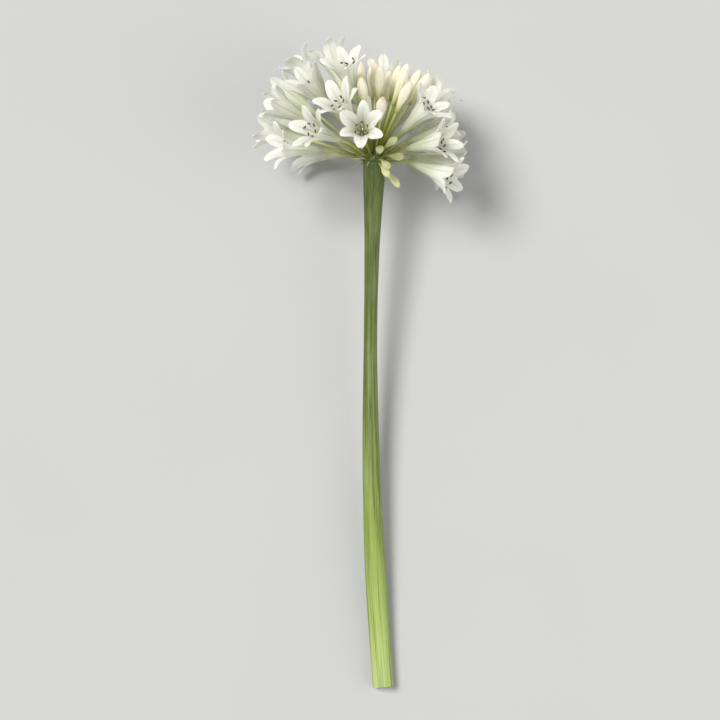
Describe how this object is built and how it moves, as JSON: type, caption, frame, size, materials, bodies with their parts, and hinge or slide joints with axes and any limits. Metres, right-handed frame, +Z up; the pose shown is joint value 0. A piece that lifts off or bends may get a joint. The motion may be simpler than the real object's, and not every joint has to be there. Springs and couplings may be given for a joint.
{
  "type": "agapanthus flower head",
  "caption": "White agapanthus umbel with open florets and cream buds, picked with its scape and lying down.",
  "frame": {"origin": "on the surface that the flower lies on, under the middle of its box", "axes": "+Y along the scape towards the head, +Z up from the surface, +X to the right with the head away"},
  "size_m": [0.1467, 0.4391, 0.1253],
  "materials": {
    "tepal": "soft satin petal, white with a pale green throat",
    "bud": "satin, cream with green at the neck",
    "stem": "smooth waxy fresh green stem with fine lengthwise ridges"
  },
  "bodies": {
    "root": {"scape_and_pedicels": "stem", "floret_01": "tepal", "floret_02": "tepal", "floret_03": "tepal", "floret_04": "tepal", "floret_05": "tepal", "floret_06": "tepal", "floret_07": "tepal", "floret_08": "tepal", "floret_09": "tepal", "floret_10": "tepal", "floret_11": "tepal", "floret_12": "tepal", "floret_13": "tepal", "floret_14": "tepal", "floret_15": "tepal", "floret_16": "tepal", "floret_17": "tepal", "floret_18": "tepal", "floret_19": "tepal", "floret_20": "tepal", "floret_21": "tepal", "floret_22": "tepal", "floret_23": "tepal", "floret_24": "tepal", "floret_25": "tepal", "floret_26": "tepal", "floret_27": "tepal", "floret_28": "tepal", "bud_01": "bud", "bud_02": "bud", "bud_03": "bud", "bud_04": "bud", "bud_05": "bud", "bud_06": "bud", "bud_07": "bud", "bud_08": "bud", "bud_09": "bud", "bud_10": "bud", "bud_11": "bud", "bud_12": "bud", "bud_13": "bud", "bud_14": "bud", "bud_15": "bud", "young_bud_01": "bud", "young_bud_02": "bud", "young_bud_03": "bud", "young_bud_04": "bud", "young_bud_05": "bud", "young_bud_06": "bud"}
  },
  "joints": []
}
